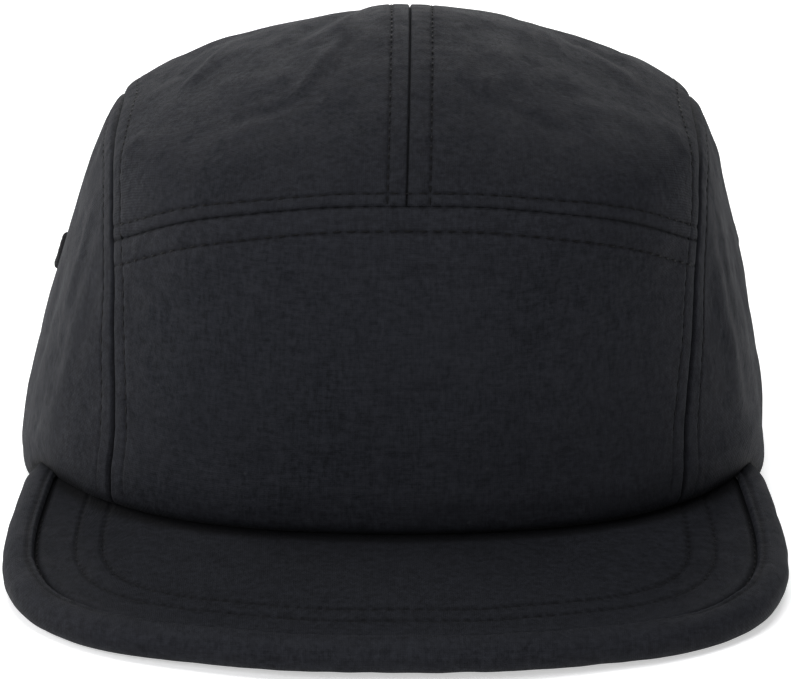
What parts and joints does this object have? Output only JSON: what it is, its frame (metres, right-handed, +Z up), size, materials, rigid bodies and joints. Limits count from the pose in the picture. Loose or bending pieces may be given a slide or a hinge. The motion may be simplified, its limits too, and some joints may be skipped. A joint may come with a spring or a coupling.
{
  "type": "sports cap",
  "caption": "Soft cloth camp cap with an upright front panel, short flat peak with a puffy bound edge, side vent eyelets and a strap with a slider across the arched back opening.",
  "frame": {"origin": "middle of the cap's footprint, on the surface it rests on", "axes": "-Y forward along the peak, +Z up, -X to the viewer's left when looking at the front"},
  "size_m": [0.1708, 0.2492, 0.1055],
  "materials": {
    "shell_cloth": "matt black crinkled nylon with a faint sheen",
    "band_cloth": "plain black cotton band",
    "webbing": "ribbed black webbing",
    "slider_plastic": "moulded black plastic, fine satin",
    "eyelet_thread": "dense black stitching"
  },
  "bodies": {
    "root": {"front_panel": "shell_cloth", "top_panel_left": "shell_cloth", "top_panel_right": "shell_cloth", "side_panel_left": "shell_cloth", "side_panel_right": "shell_cloth", "peak": "shell_cloth", "peak_binding": "shell_cloth", "sweatband": "band_cloth", "back_strap": "webbing", "strap_slider": "slider_plastic", "eyelet_left": "eyelet_thread", "eyelet_right": "eyelet_thread"}
  },
  "joints": []
}
